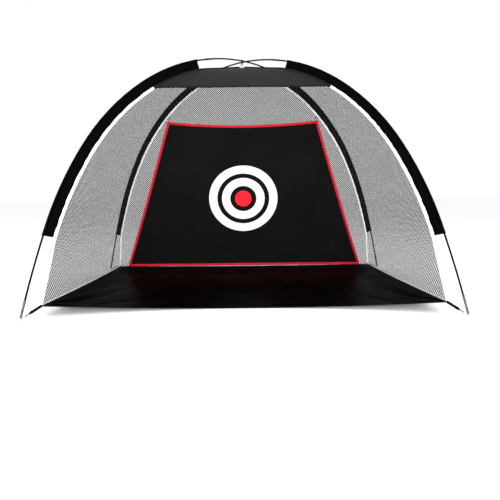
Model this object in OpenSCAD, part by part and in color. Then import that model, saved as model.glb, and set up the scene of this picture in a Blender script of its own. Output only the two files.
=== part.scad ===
// Golf chipping net: two shock-corded poles cross over a netted dome with a target cloth inside.
// +X is right, +Y is back, +Z is up. The opening faces -Y. Origin: middle of the base, on the ground.

/* [Size] */
// Distance across the front between the feet of the poles
foot_w = 3050; // [2800:10:3300]
// Distance from the front feet to the back feet
foot_d = 1520; // [1400:10:1640]
// Height of the point where the two poles cross
cross_h = 2060; // [1980:10:2140]

/* [Poles] */
// Outer diameter of a fibreglass pole
pole_d = 12.5; // [10:0.5:13]
// Diameter of the hole through a pole
pole_bore = 5; // [4.5:0.1:6]
// Sections that one pole comes apart into
section_n = 9; // [9:2:11]
// Diameter of the elastic cord inside a pole
shock_d = 2.6; // [2:0.2:3]
// Length of the steel ferrule at each joint of a pole
ferrule_l = 70; // [50:1:90]
// Outer diameter of a ferrule
ferrule_d = 15; // [14.6:0.2:16]
// Length of the steel tip on each pole end
tip_l = 125; // [110:1:140]
// Outer diameter of a tip
tip_d = 15.6; // [15.2:0.1:16.5]

/* [Feet] */
// Diameter of the pin that a pole end stands on
pin_d = 5.5; // [4.5:0.1:6]
// Length of the pin above its eye
pin_l = 58; // [40:1:60]
// Thickness of the wire of the eye below the pin
eye_wire_d = 4; // [3:0.1:4.5]
// Diameter of the eye's centre line
eye_d = 13; // [12.5:0.1:15]
// Outer diameter of the ground ring
ring_d = 42; // [36:1:46]
// Thickness of the ring's wire
ring_wire_d = 4.4; // [3.5:0.1:4.8]
// Width of the strap from the floor corner to the ring
strap_w = 20; // [12:1:24]

/* [Canopy] */
// Width of a pole sleeve, from the pole to the binding
sleeve_w = 62; // [50:1:70]
// Width of the white binding tape
binding_w = 22; // [16:1:26]
// Length along a pole from the crossing to the top of a sleeve
sleeve_top = 440; // [400:5:480]
// Length along a pole from the crossing to the bottom of a front sleeve
front_sleeve_end = 2335; // [2290:5:2400]
// Length along a pole from the crossing to the bottom of a back sleeve
back_sleeve_end = 2485; // [2400:5:2550]
// Height of the canopy's peak
peak_h = 2008; // [1960:1:2020]
// Height of the lower edge of the visor
visor_h = 1710; // [1660:5:1760]
// Reach of a front floor corner from the middle, along the line of its pole
front_reach = 1585; // [1560:5:1590]
// Height of a front floor corner, which its strap lifts
front_lift = 80; // [50:1:90]
// Reach of a back floor corner from the middle
back_reach = 1555; // [1520:5:1575]
// Height of a back floor corner
back_lift = 55; // [40:1:80]
// Thickness of the net and the sheets
sheet_t = 1; // [0.8:0.1:2]

/* [Target] */
// Half of the target's width along its top
target_top = 772; // [740:1:780]
// Half of the target's width along its bottom
target_bottom = 1285; // [1200:5:1290]
// Distance behind the middle of the line that the target swings on
target_y = 378; // [374:1:380]
// Height of that line, through the toggles of its top ties
target_h = 1632; // [1622:1:1640]
// Distance from that line down to the target's top edge
tie_l = 27; // [20:1:30]
// Height of the target's bottom edge
target_low = 64; // [60:1:90]
// Distance of the target's bottom edge behind the middle
target_back = 650; // [620:1:655]
// Width of the binding round the target
target_binding = 26; // [18:1:30]
// Thickness of the tie cords
tie_d = 3; // [2:0.5:4]

/* [Hidden] */
SIDES = ["left", "right"];
CORNERS = ["front_left", "front_right", "back_left", "back_right"];
function two(i) = str(i < 10 ? "0" : "", i);
function sections(pole) = [for (i = [1 : section_n]) str("pole_", pole, "_section_", two(i))];
function each_corner(name) = [for (c = CORNERS) str(name, "_", c)];
$fn = 48;

function sum(v) = v * [for (x = v) 1];
function mix(a, b, t) = a + (b - a) * t;
function unit(v) = v / norm(v);

// The two poles stand on the diagonals of the footprint. Pole A runs from the front left foot to the
// back right one and passes over pole B.
diagonal = atan(foot_d / foot_w);
foot_reach = sqrt(foot_w * foot_w + foot_d * foot_d) / 2;
function front_of(pole) = pole == "a" ? "front_left" : "front_right";
function back_of(pole) = pole == "a" ? "back_right" : "back_left";
function is_a(corner) = corner == front_of("a") || corner == back_of("a");
function is_front(corner) = corner == "front_left" || corner == "front_right";
function bearing(corner) =
    corner == "back_right" ? diagonal : corner == "back_left" ? 180 - diagonal
    : corner == "front_left" ? 180 + diagonal : -diagonal;

// A springy pole pinned at both feet bends in proportion to its height above them. From that rule
// follow its slope at the foot, its length and its reach, as sums over the quarter turn t.
step_t = 3;
function cos_slope(a, t) = mix(cos(a), 1, pow(sin(t), 2));
function slice(a, t) = PI / 180 * step_t / sqrt((1 - cos(a)) * (1 + cos_slope(a, t)));
function length_ratio(a) = sum([for (t = [step_t / 2 : step_t : 90]) slice(a, t)]);
function reach_ratio(a) = sum([for (t = [step_t / 2 : step_t : 90]) cos_slope(a, t) * slice(a, t)]);
function foot_slope(ratio, low = 40, high = 120) =
    high - low < 0.001 ? low
    : let (m = (low + high) / 2)
        reach_ratio(m) > ratio ? foot_slope(ratio, m, high) : foot_slope(ratio, low, m);

eye_h = eye_d / 2 + eye_wire_d / 2;
// The space between the two poles where they cross
pole_gap = 0.6;
// The distance from the tip's lower end to the eye that the pole stands on
tip_gap = eye_h + 3;
// The depth of a tip below the end of the fibreglass
socket_l = 58;
// Sections between the middle one and a foot
half_n = (section_n - 1) / 2;
// A pole: its height above the eyes that it stands on, its slope there, half its length. Each section
// is one arc, so the reach and the length are corrected until the last arc ends at the eye.
function pole(h, reach = foot_reach, extra = 0, tries = 4) =
    let (a = foot_slope(reach / h), p = [h, a, h * length_ratio(a) + extra], e = eye(arcs(p)))
    tries == 0 ? p : pole(h, reach + foot_reach - e[0], extra + e[1] / sin(e[2]), tries - 1);
POLE_A = pole(cross_h - eye_h + (pole_d + pole_gap) / 2);
POLE_B = pole(cross_h - eye_h - (pole_d + pole_gap) / 2);
POLE_MEAN = pole(cross_h - eye_h);

// A place on a pole is [reach from the middle, height above the eyes, slope in degrees].
function along(p, k, l) =
    let (b = p[2] + k * l * 180 / PI) [p[0] + (sin(b) - sin(p[2])) / k, p[1] + (cos(b) - cos(p[2])) / k, b];
function stiffness(pole) = 2 * (1 - cos(pole[1])) / pow(pole[0], 2);
function mean_height(p, k, l) =
    let (b = p[2] + k * l * 180 / PI) p[1] + ((sin(b) - sin(p[2])) / (k * l) - cos(p[2])) / k;
function bend(pole, p, l, k, tries = 6) =
    tries == 0 ? k : bend(pole, p, l, stiffness(pole) * mean_height(p, k, l), tries - 1);
function section_l(pole) = 2 * pole[2] / section_n;
// Each stretch from the crossing outwards: [start, curvature, length]
function stretches(pole, p, i = 0) =
    let (l = i == 0 ? section_l(pole) / 2 : section_l(pole),
         k = bend(pole, p, l, stiffness(pole) * p[1]),
         used = i == half_n ? l - tip_gap - socket_l : l)
    concat([[p, k, used]], i == half_n ? [] : stretches(pole, along(p, k, l), i + 1));
function arcs(pole) = stretches(pole, [0, pole[0], 0]);
ARCS_A = arcs(POLE_A);
ARCS_B = arcs(POLE_B);
ARCS_MEAN = arcs(POLE_MEAN);
function arcs_of(corner) = is_a(corner) ? ARCS_A : ARCS_B;
// The end of the fibreglass, from which the tip goes straight on
function pole_end(arcs) = let (s = arcs[half_n]) along(s[0], s[1], s[2]);
function straight_on(p, l) = [p[0] + l * cos(p[2]), p[1] - l * sin(p[2]), p[2]];
function eye(arcs) = straight_on(pole_end(arcs), socket_l + tip_gap);
function starts(arcs) = [for (i = 0, l = 0; i <= half_n; l = l + arcs[i][2], i = i + 1) l];
// The place at length l from the crossing, and the same place moved inwards by some distance
function place(arcs, l) =
    let (s = starts(arcs), i = max([for (j = [0 : half_n]) if (s[j] <= l) j]))
    along(arcs[i][0], arcs[i][1], l - s[i]);
function inward(p, d) = [p[0] - d * sin(p[2]), p[1] - d * cos(p[2])];

// Stands a thing drawn in the upright plane of reach and height on the line of a corner's pole
module on_diagonal(corner) {
    rotate([0, 0, bearing(corner)]) translate([0, 0, eye_h]) rotate([90, 0, 0]) children();
}

// Sweeps a profile along one stretch between two lengths; x in the profile is measured outwards
module sweep_stretch(stretch, from, to) {
    k = stretch[1];
    middle = inward(stretch[0], 1 / k);
    a = stretch[0][2] + k * from * 180 / PI;
    b = stretch[0][2] + k * to * 180 / PI;
    translate(middle) rotate([0, 0, 90 - b]) rotate_extrude(angle = b - a, $fn = 180)
        translate([1 / k, 0]) children();
}

module tube_profile(outer, inner) {
    difference() {
        circle(d = outer);
        circle(d = inner);
    }
}

// Section i of a pole, counted from its front foot to its back one; the middle one spans the crossing
module section(pole, i) {
    arcs = arcs_of(front_of(pole));
    from_middle = i - half_n - 1;
    corner = from_middle < 0 ? front_of(pole) : back_of(pole);
    stretch = arcs[abs(from_middle)];
    color("#1d1d1f") on_diagonal(corner)
        sweep_stretch(stretch, from_middle == 0 ? -stretch[2] : 0, stretch[2])
            tube_profile(pole_d, pole_bore);
}

ferrule_play = 0.2;
module ferrules(pole) {
    color("#8d9094") for (corner = [front_of(pole), back_of(pole)], i = [1 : half_n]) {
        arcs = arcs_of(corner);
        k = (arcs[i][1] + arcs[i - 1][1]) / 2;
        on_diagonal(corner) sweep_stretch([arcs[i][0], k, 0], -ferrule_l / 2, ferrule_l / 2)
            tube_profile(ferrule_d, pole_d + ferrule_play);
    }
}

// A closed tube through a list of points
module tube(points, d, sides = 8) {
    n = len(points);
    function heading(i) = unit(points[min(i + 1, n - 1)] - points[max(i - 1, 0)]);
    function sideways(i) = unit(cross(heading(i), abs(heading(i)[2]) > 0.9 ? [1, 0, 0] : [0, 0, 1]));
    ring_points = [for (i = [0 : n - 1], j = [0 : sides - 1])
        let (a = 360 * j / sides, u = sideways(i), v = cross(heading(i), u))
            points[i] + d / 2 * (cos(a) * u + sin(a) * v)];
    walls = [for (i = [0 : n - 2], j = [0 : sides - 1])
        let (k = (j + 1) % sides) [i * sides + j, i * sides + k, (i + 1) * sides + k, (i + 1) * sides + j]];
    polyhedron(ring_points, concat(
        [for (w = walls) [w[0], w[1], w[2]]], [for (w = walls) [w[0], w[2], w[3]]],
        [[for (j = [sides - 1 : -1 : 0]) j]], [[for (j = [0 : sides - 1]) (n - 1) * sides + j]]));
}

function on_line(corner, p) =
    [p[0] * cos(bearing(corner)), p[0] * sin(bearing(corner)), p[1] + eye_h];

// The elastic cord through a pole, from one end of the fibreglass to the other
cord_steps = 38;
cord_inset = 4;
function half_length(arcs) = sum([for (a = arcs) a[2]]);
module shock_cord(pole) {
    arcs = arcs_of(front_of(pole));
    end = half_length(arcs) - cord_inset;
    color("#3a3a3c") tube([for (i = [-cord_steps : cord_steps])
        on_line(i < 0 ? front_of(pole) : back_of(pole), place(arcs, end * abs(i) / cord_steps))], shock_d);
}

// The straight steel tip, bored for the pole at its upper end and for the pin at its lower end
socket_play = 0.8;
pin_play = 0.3;
module tip(corner) {
    p = pole_end(arcs_of(corner));
    color("#9a9da1") on_diagonal(corner) translate([p[0], p[1]]) rotate([0, 0, -p[2]]) rotate([0, 90, 0])
        difference() {
            translate([0, 0, socket_l - tip_l]) cylinder(d = tip_d, h = tip_l);
            translate([0, 0, socket_l - tip_l - 1])
                cylinder(d = pole_d + socket_play, h = tip_l - socket_l + 1.2);
            cylinder(d = pin_d + pin_play, h = socket_l + 1);
        }
}

module pin(corner) {
    p = eye(arcs_of(corner));
    color("#b4b7ba") on_diagonal(corner) translate([p[0], p[1]]) {
        rotate_extrude() translate([eye_d / 2, 0]) circle(d = eye_wire_d);
        rotate([0, 0, -p[2]]) rotate([0, -90, 0]) translate([0, 0, eye_d / 2])
            cylinder(d = pin_d, h = pin_l);
    }
}

// The line along which a strap pulls, from the eye up to the floor corner: [eye, corner, angle]
function corner_place(corner) = is_front(corner) ? [front_reach, front_lift] : [back_reach, back_lift];
function pull(corner) =
    let (e = eye(arcs_of(corner)), c = corner_place(corner) - [0, eye_h])
    [[e[0], e[1]], c, atan2(c[1] - e[1], c[0] - e[0])];
ring_r = (ring_d - ring_wire_d) / 2;
eye_slack = (eye_d - eye_wire_d - ring_wire_d) / 2 - 0.8;

// Places a thing on the line of pull, at the middle of the ring, with x towards the floor corner
module at_ring(corner) {
    line = pull(corner);
    on_diagonal(corner) translate(line[0]) rotate([0, 0, line[2]])
        translate([ring_r + eye_slack, 0, 0]) children();
}

module ring(corner) {
    color("#c3c5c7") at_ring(corner) rotate([90, 0, 0])
        rotate_extrude() translate([ring_r, 0]) circle(d = ring_wire_d);
}

// The strap: a flat web of two layers that stands on edge, in the plane of the pole. It has an open loop
// round the ring, a little back from the ring's wire, which curves away inside it. Its other end is cut
// on a slant, clear of the floor corner and of the binding's lower end.
web_t = 1.8;
loop_w = 9;
loop_l = 12;
loop_in = ring_wire_d + 2.4;
loop_back = 0.6;
end_gap_above = 18;
end_gap_below = 2;
module strap(corner) {
    line = pull(corner);
    run = norm(line[1] - line[0]) - ring_r - eye_slack;
    loop_end = ring_r + loop_l;
    color("#19191a") at_ring(corner) union() {
        translate([0, 0, -loop_w / 2]) linear_extrude(loop_w) difference() {
            hull() {
                translate([ring_r - loop_back, 0]) circle(d = loop_in + 2 * web_t);
                translate([loop_end, 0]) circle(d = 2 * web_t);
            }
            hull() {
                translate([ring_r - loop_back, 0]) circle(d = loop_in);
                translate([loop_end - 2 * web_t, 0]) circle(d = web_t / 2);
            }
        }
        translate([0, 0, -web_t]) linear_extrude(2 * web_t) polygon([
            [loop_end - web_t, strap_w / 2], [loop_end - web_t, -strap_w / 2],
            [run - end_gap_above, -strap_w / 2], [run - end_gap_below, strap_w / 2]]);
    }
}

// The sleeve: a fold of cloth that goes round the pole and comes back to the binding. Each point of the
// fold is [distance inwards from the pole, distance to the side].
fold_r = 9.6;
fold_gap = 1.1;
FOLD = concat([[sleeve_w, fold_gap], [fold_r + 4, fold_gap]],
    [for (a = [60 : 48 : 300]) fold_r * [cos(a), sin(a)]],
    [[fold_r + 4, -fold_gap], [sleeve_w, -fold_gap]]);
sleeve_rows = 25;
function sleeve_end(corner) = is_front(corner) ? front_sleeve_end : back_sleeve_end;
module sleeve(corner) {
    arcs = arcs_of(corner);
    beside = [-sin(bearing(corner)), cos(bearing(corner)), 0];
    color("#242426") sheet([for (i = [0 : sleeve_rows])
        let (p = place(arcs, mix(sleeve_top, sleeve_end(corner), i / sleeve_rows)))
        [for (f = FOLD) on_line(corner, inward(p, f[0])) + f[1] * beside]], 1);
}

// The line of the seam in reach and height: from the peak down the sleeve, in equal steps, and on to the
// floor corner. It lies d inwards from the pole, and the canopy's top is flat to peak_flat from the middle.
sleeve_steps = 10;
corner_steps = 3;
seam_in = sleeve_w + binding_w / 2;
peak_flat = 24;
peak_drop = 8;
function seam(corner, d, arcs = ARCS_MEAN) =
    let (peak = [peak_flat, peak_h - eye_h - peak_drop], out = seam_in - d, bottom = sleeve_end(corner),
         top = inward(place(arcs, sleeve_top), d), end = inward(place(arcs, bottom), d),
         low = corner_place(corner) + [out, -eye_h])
    concat([peak + [0, out], mix(peak, top, 0.5) + [0, out / 2]],
        [for (i = [0 : sleeve_steps]) inward(place(arcs, mix(sleeve_top, bottom, i / sleeve_steps)), d)],
        [for (i = [1 : corner_steps]) mix(end, low, i / corner_steps)]);

tape_t = 1.6;
module binding(corner) {
    arcs = arcs_of(corner);
    outer = seam(corner, sleeve_w + 0.4, arcs);
    inner = seam(corner, sleeve_w + binding_w, arcs);
    n = len(outer);
    color("#e9e9e7") on_diagonal(corner) translate([0, 0, -tape_t / 2]) linear_extrude(tape_t)
        polygon(concat(outer, [for (i = [n - 1 : -1 : 0]) inner[i]]));
}

// A thin closed sheet on a grid of points
module sheet(rows, t = sheet_t) {
    n = len(rows);
    m = len(rows[0]);
    function p(i, j) = rows[min(max(i, 0), n - 1)][min(max(j, 0), m - 1)];
    function across(i, j) = cross(p(i + 1, j) - p(i - 1, j), p(i, j + 1) - p(i, j - 1));
    function shifted(i, j, d) = p(i, j) + d * across(i, j) / norm(across(i, j));
    points = concat([for (i = [0 : n - 1], j = [0 : m - 1]) shifted(i, j, t / 2)],
                    [for (i = [0 : n - 1], j = [0 : m - 1]) shifted(i, j, -t / 2)]);
    back = n * m;
    cells = [for (i = [0 : n - 2], j = [0 : m - 2])
        [i * m + j, i * m + j + 1, (i + 1) * m + j + 1, (i + 1) * m + j]];
    rim = concat([for (j = [0 : m - 2]) j], [for (i = [0 : n - 2]) i * m + m - 1],
                 [for (j = [m - 1 : -1 : 1]) (n - 1) * m + j], [for (i = [n - 1 : -1 : 1]) i * m]);
    r = len(rim);
    polyhedron(points, concat(
        [for (c = cells) [c[0], c[1], c[2]]], [for (c = cells) [c[0], c[2], c[3]]],
        [for (c = cells) [back + c[2], back + c[1], back + c[0]]],
        [for (c = cells) [back + c[3], back + c[2], back + c[0]]],
        [for (k = [0 : r - 1]) let (a = rim[k], b = rim[(k + 1) % r]) [b, a, back + a]],
        [for (k = [0 : r - 1]) let (a = rim[k], b = rim[(k + 1) % r]) [b, back + a, back + b]]));
}

// The lower edges of the canopy and the floor. The side and back edges are nearly taut from corner to
// corner, and the front one sags to the ground. Each BOW is the shift of an edge's middle from the
// straight line.
edge_gap = 2 * sheet_t;
side_bow = 6;
taut_sag = 6;
front_bow = 150;
back_bow = 16;
FRONT_BOW = [0, front_bow, edge_gap - front_lift];
BACK_BOW = [0, -back_bow, -taut_sag];
LEFT_BOW = [side_bow, 0, -taut_sag];
RIGHT_BOW = [-side_bow, 0, -taut_sag];
function corner_point(corner) = on_line(corner, corner_place(corner) - [0, eye_h]);
function edge_point(a, b, u, bow) = mix(corner_point(a), corner_point(b), u) + 4 * u * (1 - u) * bow;

// A net between the seams of two corners; each row is straight but for the lowest, which meet the floor
// edge. It stops clear of the upright plane that the binding at each end lies in.
seam_gap = 2;
seam_n = len(seam("front_left", seam_in));
function clear_of(corner, v) = let (b = bearing(corner)) seam_gap / abs(v[1] * cos(b) - v[0] * sin(b)) * v;
function net_row(a, b, i, steps, bow) =
    let (p = on_line(a, seam(a, seam_in)[i]), q = on_line(b, seam(b, seam_in)[i]),
         from = p + clear_of(a, q - p), to = q + clear_of(b, p - q),
         low = pow(max(0, 1 - (seam_n - 1 - i) / corner_steps), 2))
    [for (j = [0 : steps]) let (u = j / steps)
        mix(from, to, u) + low * (edge_point(a, b, u, bow) - mix(corner_point(a), corner_point(b), u))];
module net(a, b, bow) {
    sheet([for (i = [0 : seam_n - 1]) net_row(a, b, i, 12, bow)]);
}

module side_net(side) {
    color("#4a4b4d")
        if (side == "left") net("front_left", "back_left", LEFT_BOW);
        else net("back_right", "front_right", RIGHT_BOW);
}

module back_net() {
    color("#4a4b4d") net("back_left", "back_right", BACK_BOW);
}

// The visor reaches from the peak down to a straight lower edge between the front sleeves
module visor() {
    line = seam("front_left", seam_in);
    above = [for (p = line) if (p[1] + eye_h > visor_h + 15) p];
    next = line[len(above)];
    last = above[len(above) - 1];
    hem = mix(last, next, (last[1] + eye_h - visor_h) / (last[1] - next[1]));
    color("#2e2f31") sheet([for (p = concat(above, [hem]))
        let (l = on_line("front_right", p), r = on_line("front_left", p))
        let (from = l + clear_of("front_right", r - l), to = r + clear_of("front_left", l - r))
        [for (j = [0 : 8]) mix(from, to, j / 8)]]);
}

// The floor lies flat on the ground in its middle, and round its border it rises to the four edges.
// A place on it is [u, v]: u runs from left to right and v from front to back, each from 0 to 1.
border_u = 0.09;
border_v = 0.2;
border_steps = 5;
function level_point(u, v) =
    let (front = edge_point("front_left", "front_right", u, FRONT_BOW),
         back = edge_point("back_left", "back_right", u, BACK_BOW),
         left = edge_point("front_left", "back_left", v, LEFT_BOW),
         right = edge_point("front_right", "back_right", v, RIGHT_BOW),
         near = mix(corner_point("front_left"), corner_point("front_right"), u),
         far = mix(corner_point("back_left"), corner_point("back_right"), u))
    mix(front, back, v) + mix(left, right, u) - mix(near, far, v);
// How much of an edge's height is left at the distance t from it, where the border is t0 wide
function rise(t, t0) = pow(max(0, 1 - t / t0), 2);
function height(u, v) =
    let (a = rise(min(u, 1 - u), border_u), b = rise(min(v, 1 - v), border_v),
         side = edge_point("front_left", "back_left", v, LEFT_BOW)[2] - edge_gap,
         front = edge_point("front_left", "front_right", u, FRONT_BOW)[2] - edge_gap,
         back = edge_point("back_left", "back_right", u, BACK_BOW)[2] - edge_gap,
         corner = (v < 0.5 ? front_lift : back_lift) - edge_gap)
    a * side + b * (v < 0.5 ? front : back) - a * b * corner;
function floor_point(p, z) = let (q = level_point(p[0], p[1])) [q[0], q[1], z + height(p[0], p[1])];

// The places round the floor's edge, and the place in from each of them at which the flat part begins
ROUND = concat([for (t = [0 : 12]) [t / 12, 0]], [for (t = [1 : 6]) [1, t / 6]],
    [for (t = [11 : -1 : 0]) [t / 12, 1]], [for (t = [5 : -1 : 1]) [0, t / 6]]);
function flat_from(p) = [mix(border_u, 1 - border_u, p[0]), mix(border_v, 1 - border_v, p[1])];

// A closed ring of cloth through a list of closed sections, whose points run inwards below and outwards
// above. The cells' diagonals lie the same way below and above, so that the cloth's thickness is even.
module ring_of_cloth(sections) {
    n = len(sections);
    m = len(sections[0]);
    polyhedron([for (s = sections) each s], [for (i = [0 : n - 1], j = [0 : m - 1])
        let (a = i * m, b = (i + 1) % n * m, k = (j + 1) % m, below = 2 * j < m - 1)
            each below ? [[a + j, b + j, b + k], [a + j, b + k, a + k]]
                : [[a + j, b + j, a + k], [b + j, b + k, a + k]]]);
}
// The border's upright section at a place on the edge
function border_section(p) =
    let (run = [for (k = [0 : border_steps]) mix(p, flat_from(p), k / border_steps)])
    concat([for (q = run) floor_point(q, 0)],
           [for (k = [border_steps : -1 : 0]) floor_point(run[k], sheet_t)]);
module floor_sheet() {
    flat_part = [for (p = ROUND) floor_point(flat_from(p), 0)];
    color("#161617") union() {
        linear_extrude(sheet_t) polygon([for (q = flat_part) [q[0], q[1]]]);
        ring_of_cloth([for (p = ROUND) border_section(p)]);
    }
}

// The cord that ties the canopy's peak up to the crossing: a ring of cord round both poles, its knot,
// and two runs down to the peak
module strut(from, to, d) {
    v = to - from;
    translate(from) rotate([0, acos(v[2] / norm(v)), atan2(v[1], v[0])]) cylinder(d = d, h = norm(v));
}
tie_knot_d = 10;
tie_spread = 12;
module crossing_tie() {
    r = pole_d + tie_d / 2 + 1.5;
    knot = [0, 0, cross_h - r - 3];
    color("#0f0f10") union() {
        translate([0, 0, cross_h]) rotate([0, 90, 0]) rotate_extrude() translate([r, 0]) circle(d = tie_d);
        translate(knot) sphere(d = tie_knot_d);
        for (s = [-1, 1]) strut(knot, [s * tie_spread, 0, peak_h - peak_drop + 1], tie_d);
    }
}

// The target leans back towards its lower edge and swings on a line through its top ties
lean = atan((target_back - target_y) / (target_h - target_low));
target_l = (target_h - target_low) / cos(lean);
module on_target() {
    translate([0, target_y, target_h]) rotate([90 + lean, 0, 0]) children();
}
function target_outline(d) = [[-target_top + d, -tie_l - d], [target_top - d, -tie_l - d],
    [target_bottom - d, d - target_l], [-target_bottom + d, d - target_l]];
module target_cloth() {
    color("#1a1a1b") on_target() translate([0, 0, -sheet_t / 2]) linear_extrude(sheet_t)
        polygon(target_outline(target_binding + 0.2));
}
module target_edge() {
    color("#a51d22") on_target() translate([0, 0, -1]) linear_extrude(2) difference() {
        polygon(target_outline(0));
        polygon(target_outline(target_binding));
    }
}

// A top tie is a cord that runs up from the target's corner through a toggle. The toggle lies across it in
// a loop of the seam, on the line of the swing, and turns in that loop as the target swings.
tie_x = target_top - 18;
toggle_l = 18;
toggle_d = 6.5;
stop_d = 5.5;
stop_h = (toggle_d + stop_d) / 2 + 0.4;
module at_tie(side) {
    translate([(side == "left" ? -1 : 1) * tie_x, 0, 0]) on_target() rotate([90, 0, 0]) children();
}
module tie_top(side) {
    color("#0f0f10") at_tie(side) union() {
        translate([0, 0, -stop_h]) cylinder(d = tie_d, h = stop_h + tie_l - 0.4);
        translate([0, 0, -stop_h]) sphere(d = stop_d);
    }
}
module toggle(side) {
    color("#3b3b3d") at_tie(side) difference() {
        rotate([0, 90, 0]) cylinder(d = toggle_d, h = toggle_l, center = true);
        cylinder(d = tie_d + 0.5, h = toggle_d * 2, center = true);
    }
}
// A low tie is a short cord from the target's lower corner towards the seam at the floor corner
module tie_low(side) {
    s = side == "left" ? -1 : 1;
    corner = [s * target_bottom, target_back, target_low];
    color("#0f0f10") tube([for (p = [[2, 1, 1], [13, 2, 2], [24, 3, 3]])
        corner + [s * p[0], p[1], p[2]]], tie_d);
}

for (pole = ["a", "b"]) {
    for (i = [1 : section_n])
        section(pole, i);
    ferrules(pole);
    shock_cord(pole);
}
for (corner = CORNERS) {
    tip(corner);
    pin(corner);
    ring(corner);
    strap(corner);
    sleeve(corner);
    binding(corner);
}
for (side = SIDES) {
    side_net(side);
    tie_top(side);
    tie_low(side);
    toggle(side);
}
back_net();
visor();
floor_sheet();
crossing_tie();
target_cloth();
target_edge();
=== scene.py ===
import math

import bpy
import numpy as np
from mathutils import Matrix, Vector


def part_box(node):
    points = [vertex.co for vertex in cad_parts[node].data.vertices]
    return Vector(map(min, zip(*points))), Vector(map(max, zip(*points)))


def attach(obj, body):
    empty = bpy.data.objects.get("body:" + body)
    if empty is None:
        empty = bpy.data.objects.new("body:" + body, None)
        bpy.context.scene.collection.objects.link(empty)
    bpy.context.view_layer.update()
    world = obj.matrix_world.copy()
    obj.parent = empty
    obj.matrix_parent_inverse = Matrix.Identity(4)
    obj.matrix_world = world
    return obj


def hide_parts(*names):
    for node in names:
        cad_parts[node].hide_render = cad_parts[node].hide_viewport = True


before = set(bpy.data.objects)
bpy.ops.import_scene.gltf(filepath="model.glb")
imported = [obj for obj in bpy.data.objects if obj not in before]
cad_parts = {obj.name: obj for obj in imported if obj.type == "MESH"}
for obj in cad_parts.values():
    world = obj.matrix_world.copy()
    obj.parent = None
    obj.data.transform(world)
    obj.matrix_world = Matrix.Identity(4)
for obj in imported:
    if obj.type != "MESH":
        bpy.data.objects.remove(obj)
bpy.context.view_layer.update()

# Driving dimensions, in metres, as the CAD part has them
FOOT_W = 3.05
FOOT_D = 1.52
CROSS_H = 2.06
POLE_D = 0.0125
SECTION_N = 9
EYE_H = 0.0085
TIP_SOCKET = 0.058
SLEEVE_W = 0.062
TAPE_W = 0.022
TAPE_TOP = 0.6
SLEEVE_TOP = 0.440
SLEEVE_END = {"front": 2.335, "back": 2.485}
SLEEVE_STEPS = 10
CORNER_STEPS = 3
PEAK = (0.024, 2.000)
VISOR_H = 1.710
CORNER_PLACE = {"front": (1.585, 0.080), "back": (1.555, 0.055)}
EDGE_GAP = 0.002
FRONT_BOW = (0.0, 0.150, EDGE_GAP - 0.080)
BACK_BOW = (0.0, -0.016, -0.006)
LEFT_BOW = (0.006, 0.0, -0.006)
RIGHT_BOW = (-0.006, 0.0, -0.006)
BORDER_U = 0.09
BORDER_V = 0.2
TARGET_TOP = 0.772
TARGET_BOTTOM = 1.285
TARGET_Y = 0.378
TARGET_H = 1.632
TARGET_LOW = 0.064
TARGET_BACK = 0.650
TIE_L = 0.027
TARGET_TAPE = 0.026
TIE_IN = 0.018
STRAP_W = 0.020
STRAP_SEWN = 0.012
HEM_TAPE = 0.012

CORNERS = ("front_left", "front_right", "back_left", "back_right")
SIDES = {"left": -1, "right": 1}
DIAGONAL = math.atan2(FOOT_D, FOOT_W)
FOOT_REACH = math.hypot(FOOT_W, FOOT_D) / 2
SEAM_IN = SLEEVE_W + TAPE_W / 2
BEARING = {
    "back_right": DIAGONAL,
    "back_left": math.pi - DIAGONAL,
    "front_left": math.pi + DIAGONAL,
    "front_right": -DIAGONAL,
}


# ---- The bent poles and the seams that follow them ----

def mix(a, b, t):
    return a + (b - a) * t


def ratios(slope, step=math.radians(3)):
    """Length and reach of half a bent pole, as multiples of its height, for its slope at the foot."""
    turn = np.arange(step / 2, math.pi / 2, step)
    level = mix(math.cos(slope), 1, np.sin(turn) ** 2)
    slices = step / np.sqrt((1 - math.cos(slope)) * (1 + level))
    return slices.sum(), (level * slices).sum()


def foot_slope(ratio):
    low, high = math.radians(40), math.radians(120)
    while high - low > 1e-5:
        middle = (low + high) / 2
        if ratios(middle)[1] > ratio:
            low = middle
        else:
            high = middle
    return low


def along(p, k, length):
    """The place that an arc of curvature k reaches from place p = (reach, height, slope)."""
    b = p[2] + k * length
    return (p[0] + (math.sin(b) - math.sin(p[2])) / k, p[1] + (math.cos(b) - math.cos(p[2])) / k, b)


def bend(stiffness, p, length):
    k = stiffness * p[1]
    for _ in range(7):
        b = p[2] + k * length
        mean = p[1] + ((math.sin(b) - math.sin(p[2])) / (k * length) - math.cos(p[2])) / k
        k = stiffness * mean
    return k


def stretches(h, slope, half):
    """The arcs of half a pole, one for each section: (start, curvature, start length)."""
    arcs, p, used = [], (0.0, h, 0.0), 0.0
    for i in range(SECTION_N // 2 + 1):
        length = half / SECTION_N * (1 if i == 0 else 2)
        k = bend(2 * (1 - math.cos(slope)) / h ** 2, p, length)
        arcs.append((p, k, used))
        p, used = along(p, k, length), used + length
    return arcs, used


def pole_arcs(h):
    """The arcs of a pole of height h above its eyes, corrected until the tip ends at the eye."""
    reach, extra = FOOT_REACH, 0.0
    tip = EYE_H + 0.003 + TIP_SOCKET
    for _ in range(5):
        slope = foot_slope(reach / h)
        arcs, used = stretches(h, slope, h * ratios(slope)[0] + extra)
        p, k, start = arcs[-1]
        e = along(p, k, used - start - tip)
        eye = (e[0] + tip * math.cos(e[2]), e[1] - tip * math.sin(e[2]))
        reach, extra = reach + FOOT_REACH - eye[0], extra + eye[1] / math.sin(e[2])
    return arcs


ARCS = pole_arcs(CROSS_H - EYE_H)


def place(length, arcs=ARCS):
    p, k, start = [a for a in arcs if a[2] <= length][-1]
    return along(p, k, length - start)


def inward(p, d):
    """The point d inwards from a place on the pole, as reach and height above the ground."""
    return np.array([p[0] - d * math.sin(p[2]), p[1] - d * math.cos(p[2]) + EYE_H])


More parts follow.
